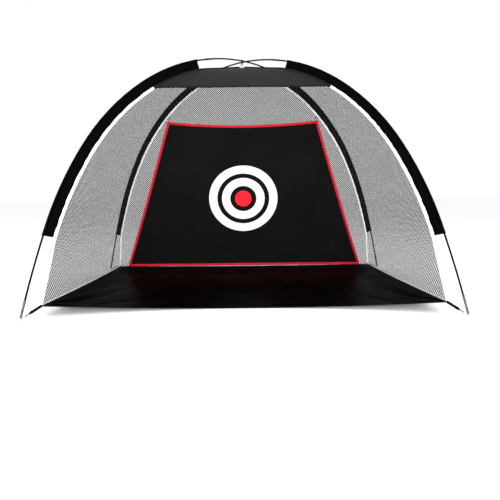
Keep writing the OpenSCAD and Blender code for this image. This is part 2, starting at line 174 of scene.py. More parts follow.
def seam_points(end, d=SEAM_IN):
    """The seam from the peak to the floor corner, d inwards from the pole: reach and height."""
    out = SEAM_IN - d
    peak = np.array(PEAK)
    sleeve = [inward(place(l), d) for l in np.linspace(SLEEVE_TOP, SLEEVE_END[end], SLEEVE_STEPS + 1)]
    low = np.array(CORNER_PLACE[end]) + [out, 0]
    tail = [mix(sleeve[-1], low, i / CORNER_STEPS) for i in range(1, CORNER_STEPS + 1)]
    return np.array([peak + [0, out], mix(peak, sleeve[0], 0.5) + [0, out / 2], *sleeve, *tail])


def smooth(points, t):
    """Points on the smooth curve through a list of points, at the list places t."""
    points, t = np.asarray(points, float), np.asarray(t, float)
    n = len(points)
    i = np.clip(t.astype(int), 0, n - 2)
    f = (t - i)[..., None]
    padded = np.vstack([2 * points[0] - points[1], points, 2 * points[-1] - points[-2]])
    a, b, c, d = (padded[i + k] for k in range(4))
    return 0.5 * (2 * b + (c - a) * f + (2 * a - 5 * b + 4 * c - d) * f ** 2
                  + (3 * b - a - 3 * c + d) * f ** 3)


SEAM_N = len(seam_points("front"))
SEAM_STEP = (SLEEVE_END["front"] - SLEEVE_TOP) / SLEEVE_STEPS


def on_line(corner, p):
    """Points in reach and height on the line of a corner's pole, in the row frame."""
    p, b = np.asarray(p, float), BEARING[corner]
    return np.stack([p[..., 0] * math.cos(b), p[..., 0] * math.sin(b), p[..., 1]], -1)


def seam(corner, t, d=SEAM_IN):
    return on_line(corner, smooth(seam_points(corner.split("_")[0], d), t))


def seam_place(height, end="front"):
    """The list place at which the seam is at that height."""
    t = np.linspace(0, SEAM_N - 1, 2000)
    z = smooth(seam_points(end), t)[:, 1]
    return float(np.interp(-height, -z, t))


def corner_point(corner):
    return on_line(corner, CORNER_PLACE[corner.split("_")[0]])


def edge_point(a, b, u, bow):
    """A point of the floor's edge from corner a to corner b, for u from 0 to 1. bow is the shift of its
    middle from the straight line."""
    u = np.asarray(u, float)[..., None]
    return mix(corner_point(a), corner_point(b), u) + np.array(bow) * 4 * u * (1 - u)


def panel(a, b, bow, t, u, d=SEAM_IN):
    """A point of the panel between the seams of corners a and b: t runs down the seams, u across. Its
    sides are sewn on d inwards from the poles."""
    p, q = seam(a, t, d), seam(b, t, d)
    u = np.asarray(u, float)
    low = np.clip(1 - (SEAM_N - 1 - np.asarray(t, float)) / CORNER_STEPS, 0, 1) ** 2
    straight = mix(corner_point(a), corner_point(b), u[..., None])
    return mix(p, q, u[..., None]) + low[..., None] * (edge_point(a, b, u, bow) - straight)


# ---- Meshes ----

def waves(x, y, seed, length, n=7):
    """A smooth random field of n waves of about that length, from about -1 to 1."""
    draw = np.random.default_rng(seed)
    total = np.zeros(np.broadcast(x, y).shape)
    for _ in range(n):
        a, k = draw.uniform(0, 2 * math.pi), 2 * math.pi / (length * draw.uniform(0.6, 1.7))
        total += np.sin(k * (x * math.cos(a) + y * math.sin(a)) + draw.uniform(0, 2 * math.pi))
    return total / n ** 0.5 / 1.4


def unit(v):
    return v / np.linalg.norm(v, axis=-1, keepdims=True)


def grid_faces(n, m, closed=False, start=0):
    """Quads of n rows of m points; closed joins each row's last point to its first."""
    i, j = np.meshgrid(np.arange(n - 1), np.arange(m if closed else m - 1), indexing="ij")
    k = (j + 1) % m
    quads = np.stack([i * m + j, i * m + k, (i + 1) * m + k, (i + 1) * m + j], -1)
    return (quads.reshape(-1, 4) + start).tolist()


def make(name, points, faces, material, uv=None):
    """A smooth-shaded mesh object. uv gives each point's place on the flat cloth, in metres."""
    points = np.asarray(points, float).reshape(-1, 3)
    mesh = bpy.data.meshes.new(name)
    mesh.from_pydata(points.tolist(), [], faces)
    mesh.polygons.foreach_set("use_smooth", [True] * len(mesh.polygons))
    if uv is not None:
        corners = np.empty(len(mesh.loops), int)
        mesh.loops.foreach_get("vertex_index", corners)
        layer = mesh.uv_layers.new(name="cloth")
        layer.data.foreach_set("uv", np.asarray(uv, float).reshape(-1, 2)[corners].ravel())
    mesh.materials.append(material)
    mesh.update()
    piece = bpy.data.objects.new(name, mesh)
    bpy.context.scene.collection.objects.link(piece)
    return piece


def settle(piece, body, slot, *nodes):
    """Parents a finished piece to the empty of its body and hides the CAD nodes it stands for. The slot
    argument is not used.
    """
    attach(piece, body)
    if nodes:
        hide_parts(*nodes)
    return piece


def thicken(piece, thickness, offset=0.0):
    solid = piece.modifiers.new("cloth_thickness", "SOLIDIFY")
    solid.thickness = thickness
    solid.offset = offset
    return piece


def cloth_grid(name, points, material, uv, thickness=0.0007, offset=0.0):
    """A sheet of cloth on a grid of points, with a real thickness."""
    n, m = points.shape[:2]
    return thicken(make(name, points, grid_faces(n, m), material, uv), thickness, offset)


def band(path, side, up, width, thickness):
    """Points of a flat tape with rounded edges along a path. side and up are unit vectors for each row,
    and width is one number or one for each row. Returns the points and their places on the tape."""
    across = np.array([-0.5, -0.46, 0, 0.46, 0.5, 0.46, 0, -0.46])
    high = np.array([0, 0.5, 0.5, 0.5, 0, -0.5, -0.5, -0.5])
    wide = np.broadcast_to(width, len(path))[:, None] * across
    points = path[:, None] + side[:, None] * wide[..., None] + up[:, None] * (high * thickness)[:, None]
    run = np.concatenate([[0], np.cumsum(np.linalg.norm(np.diff(path, axis=0), axis=1))])
    uv = np.stack(np.broadcast_arrays(wide + np.max(width) / 2, run[:, None]), -1)
    return points, uv


def tape(name, path, side, up, width, thickness, material):
    """A closed tape along a path."""
    points, uv = band(path, side, up, width, thickness)
    n, m = points.shape[:2]
    ends = [list(range(m)), list(range((n - 1) * m, n * m))[::-1]]
    return make(name, points, grid_faces(n, m, closed=True) + ends, material, uv)


def frames(path):
    """Two unit vectors across a path for each of its points, turning as little as they can."""
    heading = unit(np.gradient(path, axis=0))
    first = np.cross(heading[0], [0.31, 0.19, 0.93])
    sides = [first / np.linalg.norm(first)]
    for h in heading[1:]:
        s = sides[-1] - h * np.dot(sides[-1], h)
        sides.append(s / np.linalg.norm(s))
    sides = np.array(sides)
    return sides, np.cross(heading, sides)


def tube_parts(path, d, start=0, sides=10, lay=0.06):
    """Points and faces of a round cord along a path. Its strands show as small lobes that wind."""
    path = np.asarray(path, float)
    side, up = frames(path)
    a = np.linspace(0, 2 * math.pi, sides, endpoint=False)
    row = np.arange(len(path))[:, None]
    r = d / 2 * (1 - lay + lay * np.cos(3 * a[None, :] + row * 0.9))
    points = (path[:, None] + side[:, None] * (np.cos(a) * r)[..., None]
              + up[:, None] * (np.sin(a) * r)[..., None])
    n = len(path)
    faces = grid_faces(n, sides, closed=True, start=start)
    faces += [list(range(start, start + sides))[::-1],
              list(range(start + (n - 1) * sides, start + n * sides))]
    return points.reshape(-1, 3), faces


def cords(name, paths, d, material):
    """Cords along several paths, as one piece. Each path is smoothed through its points."""
    points, faces = [], []
    for path in paths:
        t = np.linspace(0, len(path) - 1, max(8, 6 * (len(path) - 1)))
        p, f = tube_parts(smooth(path, t), d, start=sum(len(x) for x in points))
        points.append(p)
        faces += f
    return make(name, np.vstack(points), faces, material)


def knot(centre, size, turn=(0.0, 0.0, 0.0), n=26):
    """The path of an overhand knot: a trefoil, closed up to a small gap."""
    t = np.linspace(0.15, 2 * math.pi - 0.15, n)
    p = np.stack([np.sin(t) + 2 * np.sin(2 * t), np.cos(t) - 2 * np.cos(2 * t), -np.sin(3 * t) * 1.3], -1)
    rotation = np.array(Matrix.Rotation(turn[2], 3, "Z") @ Matrix.Rotation(turn[1], 3, "Y")
                        @ Matrix.Rotation(turn[0], 3, "X"))
    return np.asarray(centre) + p @ rotation.T * size / 3


# ---- Materials ----

class Look:
    """A material under construction. add() makes a node; an input is a value or another socket."""

    def __init__(self, name, **constants):
        self.material = bpy.data.materials.new(name)
        self.material.use_nodes = True
        self.tree = self.material.node_tree
        self.shader = self.tree.nodes["Principled BSDF"]
        for key, value in constants.items():
            self.shader.inputs[key.replace("_", " ")].default_value = value

    def put(self, socket, value):
        if isinstance(value, bpy.types.NodeSocket):
            self.tree.links.new(value, socket)
        else:
            socket.default_value = value

    def add(self, kind, inputs, out=0, **settings):
        node = self.tree.nodes.new("ShaderNode" + kind)
        for key, value in settings.items():
            setattr(node, key, value)
        for key, value in inputs.items():
            self.put(node.inputs[key], value)
        return node.outputs[out]

    def math(self, operation, a, b=0.0):
        return self.add("Math", {0: a, 1: b}, operation=operation)

    def place(self, flat):
        """Where a point is: on the flat cloth, or in the object."""
        if flat:
            return self.add("UVMap", {}, uv_map="cloth")
        return self.add("TexCoord", {}, out=3)

    def stretched(self, where, scale):
        return self.add("Mapping", {"Vector": where, "Scale": scale})

    def noise(self, where, scale, detail=3.0, rough=0.55):
        return self.add("TexNoise", {"Vector": where, "Scale": scale, "Detail": detail, "Roughness": rough})

    def ramp(self, value, low, high, dark, light):
        """Maps a value between low and high to between dark and light."""
        return self.add("MapRange", {"Value": value, "From Min": low, "From Max": high,
                                     "To Min": dark, "To Max": light})

    def blend(self, share, a, b):
        node = self.tree.nodes.new("ShaderNodeMix")
        node.data_type = "RGBA"
        for socket, value in zip([node.inputs["Factor"], node.inputs[6], node.inputs[7]], [share, a, b]):
            self.put(socket, value)
        return node.outputs[2]

    def bump(self, height, distance, strength=1.0, under=None):
        inputs = {"Height": height, "Distance": distance, "Strength": strength}
        if under is not None:
            inputs["Normal"] = under
        return self.add("Bump", inputs)

    def weave(self, where, pitch):
        """A plain weave: threads that go over and under each other, one each pitch."""
        split = self.tree.nodes.new("ShaderNodeSeparateXYZ")
        self.put(split.inputs[0], where)
        warp = self.math("SINE", self.math("MULTIPLY", split.outputs[0], 2 * math.pi / pitch))
        weft = self.math("SINE", self.math("MULTIPLY", split.outputs[1], 2 * math.pi / pitch))
        return self.math("MULTIPLY", warp, weft)

    def finish(self, colour, normal=None, rough=None):
        self.put(self.shader.inputs["Base Color"], colour)
        if normal is not None:
            self.put(self.shader.inputs["Normal"], normal)
        if rough is not None:
            self.put(self.shader.inputs["Roughness"], rough)
        return self.material


def rgb(r, g, b):
    return (r, g, b, 1.0)


def grey(value):
    """A nearly neutral grey with a trace of blue, as black dyes have."""
    return (value * 0.98, value * 0.98, value * 1.04, 1.0)


def cloth_look(name, dark, light, pitch, crease, rough=(0.7, 0.85), gloss=0.04):
    """Woven cloth: its threads, faded patches, and creases of about the given size."""
    look = Look(name, Specular_IOR_Level=gloss)
    where = look.place(True)
    threads = look.weave(where, pitch)
    patches = look.noise(where, 1.7, 4.0)
    fibres = look.noise(where, 160.0, 2.0)
    colour = look.blend(look.ramp(patches, 0.3, 0.7, 0.0, 1.0), grey(dark), grey(light))
    faded = look.blend(look.ramp(fibres, 0.35, 0.75, 0.0, 0.4), colour, grey(light * 2.0))
    folds = look.noise(look.stretched(where, (1.0, 0.45, 1.0)), 1.0 / crease, 3.0, 0.5)
    normal = look.bump(threads, 0.0002, 0.5, look.bump(folds, crease * 0.05, 0.6))
    return look.finish(faded, normal, look.ramp(patches, 0.2, 0.8, *rough))


def tape_look(name, main, worn, thread, width, pitch=0.004, gloss=0.1):
    """Woven tape with a row of stitches near each edge, and dirt along the edges."""
    look = Look(name, Specular_IOR_Level=gloss)
    where = look.place(True)
    split = look.tree.nodes.new("ShaderNodeSeparateXYZ")
    look.put(split.inputs[0], where)
    from_middle = look.math("ABSOLUTE", look.math("SUBTRACT", split.outputs[0], width / 2))
    row = look.math("ABSOLUTE", look.math("SUBTRACT", from_middle, width * 0.34))
    in_row = look.math("LESS_THAN", row, 0.0006)
    dash = look.math("LESS_THAN", look.math("FRACT", look.math("DIVIDE", split.outputs[1], pitch)), 0.68)
    stitch = look.math("MULTIPLY", in_row, dash)
    ribs = look.math("SINE", look.math("MULTIPLY", split.outputs[1], 2 * math.pi / 0.0012))
    dirt = look.noise(where, 22.0, 5.0)
    dirty = look.math("MULTIPLY", look.ramp(dirt, 0.45, 0.75, 0.0, 0.55),
                      look.ramp(from_middle, width * 0.25, width * 0.5, 0.3, 1.0))
    colour = look.blend(stitch, look.blend(dirty, main, worn), thread)
    pucker = look.noise(look.stretched(where, (0.4, 1.0, 1.0)), 110.0, 2.0)
    seam = look.bump(pucker, 0.0008, 0.5, look.bump(stitch, 0.0006, 0.8))
    return look.finish(colour, look.bump(ribs, 0.00015, 0.5, seam), look.ramp(dirt, 0.3, 0.7, 0.62, 0.82))


def net_look():
    look = Look("netting", Specular_IOR_Level=0.06)
    where = look.place(False)
    yarn = look.noise(look.stretched(where, (1.0, 1.0, 0.3)), 900.0, 2.0)
    patches = look.noise(where, 2.2, 3.0)
    colour = look.blend(look.ramp(patches, 0.3, 0.7, 0.0, 1.0), grey(0.010), grey(0.020))
    worn = look.blend(look.ramp(yarn, 0.5, 0.8, 0.0, 0.4), colour, grey(0.05))
    return look.finish(worn, look.bump(yarn, 0.0004, 0.6), look.ramp(yarn, 0.3, 0.7, 0.6, 0.85))


def cord_look():
    """Braided cord: crossing strands and some fuzz."""
    look = Look("braided_cord", Specular_IOR_Level=0.08)
    where = look.place(False)
    braid = look.add("TexVoronoi", {"Vector": where, "Scale": 900.0})
    fuzz = look.noise(where, 400.0, 3.0)
    colour = look.blend(look.ramp(braid, 0.2, 0.7, 0.0, 1.0), grey(0.003), grey(0.016))
    return look.finish(colour, look.bump(braid, 0.0004, 0.7), look.ramp(fuzz, 0.3, 0.7, 0.6, 0.9))


def fibreglass_look():
    """Black rod: fine streaks along it, a low gloss and small scuffs."""
    look = Look("fibreglass_rod", Specular_IOR_Level=0.02)
    where = look.place(False)
    streaks = look.noise(look.stretched(where, (1.0, 1.0, 0.08)), 500.0, 3.0)
    scuffs = look.noise(where, 60.0, 6.0, 0.7)
    colour = look.blend(look.ramp(streaks, 0.35, 0.7, 0.0, 1.0), grey(0.001), grey(0.003))
    marked = look.blend(look.ramp(scuffs, 0.62, 0.72, 0.0, 0.4), colour, grey(0.015))
    return look.finish(marked, look.bump(streaks, 0.0002, 0.4), look.ramp(scuffs, 0.4, 0.7, 0.4, 0.6))


def metal_look(name, pale, dull, rough, grain=(1.0, 1.0, 0.1)):
    """Drawn or plated steel: fine lines, clouding and dull spots."""
    look = Look(name, Metallic=1.0)
    where = look.place(False)
    lines = look.noise(look.stretched(where, grain), 700.0, 3.0)
    clouds = look.noise(where, 35.0, 5.0, 0.65)
    colour = look.blend(look.ramp(clouds, 0.45, 0.75, 0.0, 1.0), pale, dull)
    return look.finish(colour, look.bump(lines, 0.0001, 0.35), look.ramp(clouds, 0.3, 0.75, *rough))


def plastic_look():
    look = Look("moulded_plastic", Specular_IOR_Level=0.2)
    where = look.place(False)
    grain = look.noise(where, 1500.0, 2.0)
    rubbed = look.noise(where, 150.0, 4.0)
    colour = look.blend(look.ramp(rubbed, 0.5, 0.75, 0.0, 1.0), grey(0.008), grey(0.025))
    return look.finish(colour, look.bump(grain, 0.0001, 0.5), look.ramp(rubbed, 0.3, 0.7, 0.4, 0.6))


def print_look(name, ink, worn):
    """Screen print on the cloth: the weave shows through it, and it has rubbed thin in places."""
    look = Look(name, Specular_IOR_Level=0.15)
    where = look.place(True)
    threads = look.weave(where, 0.0022)
    rub = look.noise(where, 14.0, 6.0, 0.7)
    fine = look.noise(where, 220.0, 2.0)
    thin = look.math("MULTIPLY", look.ramp(rub, 0.55, 0.8, 0.0, 0.5), look.ramp(fine, 0.4, 0.6, 0.3, 1.0))
    return look.finish(look.blend(thin, ink, worn), look.bump(threads, 0.0002, 0.5),
                       look.ramp(rub, 0.3, 0.7, 0.5, 0.7))


def floor_look():
    look = Look("studio_floor", Roughness=0.9, Specular_IOR_Level=0.1)
    where = look.place(False)
    patches = look.noise(where, 0.6, 2.0)
    return look.finish(look.blend(patches, rgb(0.95, 0.95, 0.95), rgb(0.97, 0.97, 0.97)))


def make_looks():
    white, white_worn, white_thread = rgb(0.90, 0.90, 0.89), rgb(0.60, 0.59, 0.56), rgb(0.97, 0.97, 0.96)
    red, red_worn, red_thread = rgb(0.60, 0.012, 0.030), rgb(0.30, 0.008, 0.018), rgb(0.75, 0.06, 0.08)
    return {
        "netting": net_look(),
        "sleeve": cloth_look("sleeve_cloth", 0.0004, 0.0010, 0.0012, 0.05, (0.5, 0.68), 0.012),
        "visor": cloth_look("visor_cloth", 0.010, 0.014, 0.0012, 0.12, (0.7, 0.85), 0.06),
        "visor_edge": cloth_look("visor_edge", 0.005, 0.008, 0.0012, 0.08, (0.7, 0.85), 0.05),
        "floor": cloth_look("floor_cloth", 0.0002, 0.0006, 0.0015, 0.10, (0.32, 0.46), 0.014),
        "target": cloth_look("target_cloth", 0.0036, 0.0060, 0.0016, 0.14, (0.75, 0.9), 0.02),
        "white_tape": tape_look("white_tape", white, white_worn, white_thread, TAPE_W),
        "pale_hem": tape_look("pale_hem", white, white_worn, white_thread, HEM_TAPE),
        "red_tape": tape_look("red_tape", red, red_worn, red_thread, TARGET_TAPE),
        "black_tape": tape_look("black_tape", grey(0.002), grey(0.008), grey(0.012), TAPE_W, gloss=0.04),
        "webbing": tape_look("webbing", grey(0.003), grey(0.012), grey(0.02), STRAP_W, gloss=0.05),
        "cord": cord_look(),
        "fibreglass": fibreglass_look(),
        "ferrule": metal_look("blacked_steel", rgb(0.035, 0.035, 0.037), rgb(0.012, 0.012, 0.013),
                              (0.35, 0.55)),
        "tip": metal_look("dulled_tip", rgb(0.16, 0.16, 0.17), rgb(0.03, 0.03, 0.03), (0.3, 0.5)),
        "wire": metal_look("bright_wire", rgb(0.62, 0.63, 0.64), rgb(0.42, 0.42, 0.42), (0.2, 0.4)),
        "plated": metal_look("plated_ring", rgb(0.75, 0.76, 0.77), rgb(0.5, 0.5, 0.5), (0.12, 0.3),
                             (1, 1, 1)),
        "plastic": plastic_look(),
        "white_print": print_look("white_print", rgb(0.90, 0.90, 0.89), rgb(0.35, 0.35, 0.35)),
        "red_print": print_look("red_print", rgb(0.90, 0.010, 0.020), rgb(0.30, 0.006, 0.010)),
    }


# ---- The nets ----

NET_PITCH = 0.0205
NET_HOLE = 0.575
NET_RELIEF = 0.0007
NET_SEWN = SEAM_IN - 0.008


def net_mesh(name, a, b, bow, material):
    """Knotless diamond netting, cut from the flat cloth and hung between two seams. Strands run between
    the corners of the diamonds; their middles stand a little proud of the edges of the holes."""
    t_fine = np.linspace(0, SEAM_N - 1, 1500)
    middle = panel(a, b, bow, t_fine, np.full_like(t_fine, 0.5), NET_SEWN)
    depth = np.concatenate([[0], np.cumsum(np.linalg.norm(np.diff(middle, axis=0), axis=1))])
    width = np.linalg.norm(seam(a, t_fine, NET_SEWN) - seam(b, t_fine, NET_SEWN), axis=1)
    rows, columns = int(depth[-1] / NET_PITCH * 2) + 1, int(width.max() / NET_PITCH) + 3
    i, j = np.meshgrid(np.arange(1, rows), np.arange(-columns, columns + 1), indexing="ij")
    half = np.interp(i * NET_PITCH / 2, depth, width) / 2
    inside = (np.abs(j) * NET_PITCH / 2 < half - NET_PITCH * 0.1) & ((i + j) % 2 == 0)
    ci, cj = i[inside], j[inside]
    around = np.array([[0, 1], [1, 0], [0, -1], [-1, 0]])
    corner = np.stack([ci, cj], -1)[:, None] + around[None]

    def flat(ij):
        """Depth and distance across of lattice places, held to the cloth."""
        down = np.clip(ij[..., 0] * NET_PITCH / 2, 0.004, depth[-1])
        limit = np.interp(down, depth, width) / 2 + 0.002
        return down, np.clip(ij[..., 1] * NET_PITCH / 2, -limit, limit)

    def hang(down, across, relief):
        t = np.interp(down, depth, t_fine)
        w = np.interp(down, depth, width)
        u, e = 0.5 + across / w, 0.01
        p = panel(a, b, bow, t, u, NET_SEWN)
        du = panel(a, b, bow, t, u + e / w, NET_SEWN) - p
        below = panel(a, b, bow, np.clip(t + e, 0, SEAM_N - 1), u, NET_SEWN)
        above = panel(a, b, bow, np.clip(t - e, 0, SEAM_N - 1), u, NET_SEWN)
        return p + unit(np.cross(below - above, du)) * relief

    key, where = np.unique(corner.reshape(-1, 2), axis=0, return_inverse=True)
    strands = hang(*flat(key), NET_RELIEF)
    cell_down, cell_across = flat(np.stack([ci, cj], -1))
    down, across = flat(corner)
    holes = hang(mix(cell_down[:, None], down, NET_HOLE), mix(cell_across[:, None], across, NET_HOLE), 0.0)
    where = where.reshape(-1, 4)
    inner = len(key) + np.arange(len(ci) * 4).reshape(-1, 4)
    faces = []
    for k in range(4):
        n = (k + 1) % 4
        faces.append(np.stack([where[:, k], where[:, n], inner[:, n], inner[:, k]], -1))
    points = np.vstack([strands, holes.reshape(-1, 3)])
    return make(name, points, np.concatenate(faces).tolist(), material)


def nets(looks):
    """The three nets. The mesh has real holes:
    the cuts themselves are 2.43 and 4.44 square metres."""
    left = net_mesh("netting_left", "front_left", "back_left", LEFT_BOW, looks["netting"])
    right = net_mesh("netting_right", "back_right", "front_right", RIGHT_BOW, looks["netting"])
    back = net_mesh("netting_back", "back_left", "back_right", BACK_BOW, looks["netting"])
    hems = [net_hem("net_hem_left", "front_left", "back_left", LEFT_BOW, looks["pale_hem"]),
            net_hem("net_hem_right", "back_right", "front_right", RIGHT_BOW, looks["pale_hem"]),
            net_hem("net_hem_back", "back_left", "back_right", BACK_BOW, looks["pale_hem"])]
    settle(left, "dome", "netting", "side_net_left")
    settle(right, "dome", "netting", "side_net_right")
    settle(back, "dome", "netting", "back_net")


def net_hem(name, a, b, bow, look):
    """The pale tape that binds a net's lower edge where it is sewn to the floor."""
    u = np.linspace(0.003, 0.997, 160)
    low = panel(a, b, bow, np.full_like(u, SEAM_N - 1.0), u)
    side = unit(panel(a, b, bow, np.full_like(u, SEAM_N - 1.1), u) - low)
    up = unit(np.cross(side, np.gradient(low, axis=0)))
    path = low + side * HEM_TAPE * 0.55 + up * 0.0002 * np.sin(u * 700)[:, None]
    return settle(tape(name, path, side, up, HEM_TAPE, 0.0022, look), "dome", "white_tape")


# ---- Pole sleeves and white seam tapes ----

def upright(corner):
    """The unit vector across the upright plane that a corner's pole and seam lie in."""
    return np.array([-math.sin(BEARING[corner]), math.cos(BEARING[corner]), 0.0])


def seam_tape(name, corner, t, look, slot, *nodes):
    """A tape along the seam, for the list places t."""
    middle, edge = seam(corner, t), seam(corner, t, SEAM_IN - 0.004)
    side = unit(edge - middle)
    up = np.broadcast_to(upright(corner), side.shape)
    run = t * SEAM_STEP
    wave = waves(run, 0 * run, len(corner), 0.09) * 0.0010
    piece = tape(name, middle + up * wave[:, None], side, up, TAPE_W, 0.0024, look)
    return settle(piece, "dome", slot, *nodes)


def binding(corner, looks):
    """The white tape along the seam, which starts below the visor in front and below the peak at the back.
    A tape of the visor's cloth covers the seam above."""
    t_top = seam_place(VISOR_H) if corner.startswith("front") else TAPE_TOP
    seam_tape("seam_cover_" + corner, corner, np.linspace(0, t_top, 50), looks["visor_edge"], "visor_cloth")
    return seam_tape("seam_tape_" + corner, corner, np.linspace(t_top, SEAM_N - 1, 230), looks["white_tape"],
                     "white_tape", "binding_" + corner)


FOLD_R = 0.0096
FOLD_END = SLEEVE_W + 0.003


def sleeve_fold():
    """The fold round the pole: for each point its distance inwards, its side, and how loose it is."""
    turn = np.radians(np.linspace(48, 312, 12))
    around = [(FOLD_R * math.cos(a), FOLD_R * math.sin(a), 0.25) for a in turn]
    down = np.linspace(FOLD_END, FOLD_R + 0.006, 7)
    loose = np.sin(math.pi * np.clip((down - FOLD_R) / (SLEEVE_W - FOLD_R), 0, 1))
    flat = [(d, 0.0005 + 0.0023 * l, l) for d, l in zip(down, loose)]
    return np.array(flat + around + [(d, -s, l) for d, s, l in flat[::-1]])


def fold_stretch(length, p):
    """How much wider than nominal the flat of the fold is, at a place p on a pole above or below nominal."""
    edge = inward(place(length), FOLD_END) - [p[0], p[1] + EYE_H]
    reach = -edge[0] * math.sin(p[2]) - edge[1] * math.cos(p[2])
    return (reach - FOLD_R) / (FOLD_END - FOLD_R)


def sleeve(corner, look):
    """A sleeve of loose cloth round the pole, sewn to the seam: it puckers across its width."""
    fold = sleeve_fold()
    high = corner in ("front_left", "back_right")
    h = CROSS_H - EYE_H + (1 if high else -1) * (POLE_D / 2 + 0.0003)
    arcs = pole_arcs(h)
    bottom = SLEEVE_END[corner.split("_")[0]]
    lengths = np.linspace(SLEEVE_TOP, bottom, 200)
    seed = 11 + CORNERS.index(corner)
    loose = (1 + 1.6 * np.exp(-((lengths - SLEEVE_TOP) / 0.22) ** 2)
             + 0.7 * np.exp(-((bottom - lengths) / 0.12) ** 2))
    rows = []
    for length, slack in zip(lengths, loose):
        p = place(length, arcs)
        hem = 0.0008 if min(length - SLEEVE_TOP, bottom - length) < 0.018 else 0.0
        shear = length + fold[:, 0] * 0.7
        pucker = (waves(shear, np.sign(fold[:, 1]) * 3.0, seed, 0.055)
                  + 0.5 * waves(shear, fold[:, 0], seed + 9, 0.024))
        side = fold[:, 1] + np.sign(fold[:, 1]) * (hem + fold[:, 2] * 0.0016 * slack * (1 + pucker))
        flat = np.clip(fold[:, 0] - FOLD_R, 0, 1)
        inner = fold[:, 0] + flat * (fold_stretch(length, p) - 1) - (fold[:, 0] < 0) * hem
        inner = inner - fold[:, 2] * 0.0010 * slack * waves(shear, 0 * shear, seed + 5, 0.07)
        points = np.stack([p[0] - inner * math.sin(p[2]), p[1] - inner * math.cos(p[2]) + EYE_H], -1)
        rows.append(on_line(corner, points) + upright(corner) * side[:, None])
    rows = np.array(rows)
    around = np.concatenate([[0], np.cumsum(np.linalg.norm(np.diff(fold[:, :2], axis=0), axis=1))])
    uv = np.stack(np.broadcast_arrays(around[None, :], lengths[:, None]), -1)
    piece = cloth_grid("pole_sleeve_" + corner, rows, look, uv, 0.0006)
    settle(piece, "dome", "sleeve_cloth", "sleeve_" + corner)
    return piece


# ---- The visor ----

def visor_surface(t, u):
    """The visor's cloth: the panel between the front seams, a little slack between them."""
    base = panel("front_right", "front_left", (0, 0, 0), t, u)
    x = base[..., 0]
    reach = np.abs(2 * u - 1)
    down = np.clip(t / seam_place(VISOR_H), 0, 1)
    slack = 0.0035 * waves(x, t * 0.12, 31, 0.5) * (1 - reach ** 4)
    pucker = 0.0022 * waves(t * SEAM_STEP, x * 0.15, 33, 0.05) * reach ** 6
    swag = 0.004 * (1 - reach ** 2) * np.sin(math.pi * down)
    out = np.stack([0 * x, slack + pucker + 0.4 * swag, slack - swag], -1)
    return base + out


def visor(look, hem_look):
    t_hem = seam_place(VISOR_H)
    t, u = np.meshgrid(np.linspace(0.0, t_hem, 44), np.linspace(0.004, 0.996, 90), indexing="ij")
    points = visor_surface(t, u)
    uv = np.stack([points[..., 0], t * SEAM_STEP], -1)
    piece = cloth_grid("visor_panel", points, look, uv, 0.0007)
    settle(piece, "dome", "visor_cloth", "visor")
    u = np.linspace(0.002, 0.998, 130)
    edge = visor_surface(np.full_like(u, t_hem), u)
    above = visor_surface(np.full_like(u, t_hem - 0.08), u)
    side = unit(above - edge)
    up = unit(np.cross(side, np.gradient(edge, axis=0)))
    path = edge + side * 0.009 + up * 0.0003 * np.sin(u * 900)[:, None]
    hem = tape("visor_hem", path, side, up, 0.022, 0.0026, hem_look)
    settle(hem, "dome", "visor_cloth")


# ---- The floor ----

def rise(t, border):
    """How much of an edge's height is left at the distance t from it."""
    return np.clip(1 - t / border, 0, 1) ** 2


def corner_ridges(x, y):
    """Folds that fan out from each corner of the floor, where its strap pulls."""
    ridges = np.zeros(x.shape)
    for n, corner in enumerate(CORNERS):
        c = corner_point(corner)
        r, angle = np.hypot(x - c[0], y - c[1]), np.arctan2(y - c[1], x - c[0])
        spread = np.clip(r / 0.05, 0, 1) * np.exp(-r / 0.34)
        fan = np.cos(angle * 13 + 1.7 * n + 3 * r) + 0.6 * np.cos(angle * 23 + n + 5 * r)
        high = 0.0110 if corner.startswith("front") else 0.0035
        ridges = ridges + spread * (1 + fan) * high
    return ridges


def floor_surface(u, v):
    """The floor cloth: u runs from left to right and v from front to back."""
    front = edge_point("front_left", "front_right", u, FRONT_BOW)
    back = edge_point("back_left", "back_right", u, BACK_BOW)
    left = edge_point("front_left", "back_left", v, LEFT_BOW)
    right = edge_point("front_right", "back_right", v, RIGHT_BOW)
    square = mix(edge_point("front_left", "front_right", u, (0, 0, 0)),
                 edge_point("back_left", "back_right", u, (0, 0, 0)), v[..., None])
    point = mix(front, back, v[..., None]) + mix(left, right, u[..., None]) - square
    corner = np.where(v < 0.5, CORNER_PLACE["front"][1], CORNER_PLACE["back"][1]) - EDGE_GAP
    end = np.where(v < 0.5, front[..., 2], back[..., 2]) - EDGE_GAP
    a, b = rise(np.minimum(u, 1 - u), BORDER_U), rise(np.minimum(v, 1 - v), BORDER_V)
    lift = a * (left[..., 2] - EDGE_GAP) + b * end - a * b * corner
    x, y = point[..., 0], point[..., 1]
    swell = 0.0022 * (1 + waves(x, y, 51, 0.42)) + 0.0016 * (1 + waves(x, y, 52, 0.13))
    near_edge = np.minimum(np.minimum(u, 1 - u) * 2.8, np.minimum(v, 1 - v) * 1.35)
    inside = 0.15 + 0.85 * np.clip(near_edge / 0.09, 0, 1)
    point[..., 2] = 0.0012 + lift + (corner_ridges(x, y) + swell) * inside
    return point


def front_hem(look):
    """The tape sewn along the floor's front edge."""
    u, v = np.linspace(0.003, 0.997, 160), np.zeros(160)
    edge = floor_surface(u, v)
    side = unit(floor_surface(u, v + 0.01) - edge)
    up = unit(np.cross(side, np.gradient(edge, axis=0)))
    up = up * np.sign(up[:, 2:3])
    path = edge + side * 0.010 + up * 0.0011
    return settle(tape("floor_hem_front", path, side, up, 0.024, 0.0030, look), "dome", "floor_cloth")


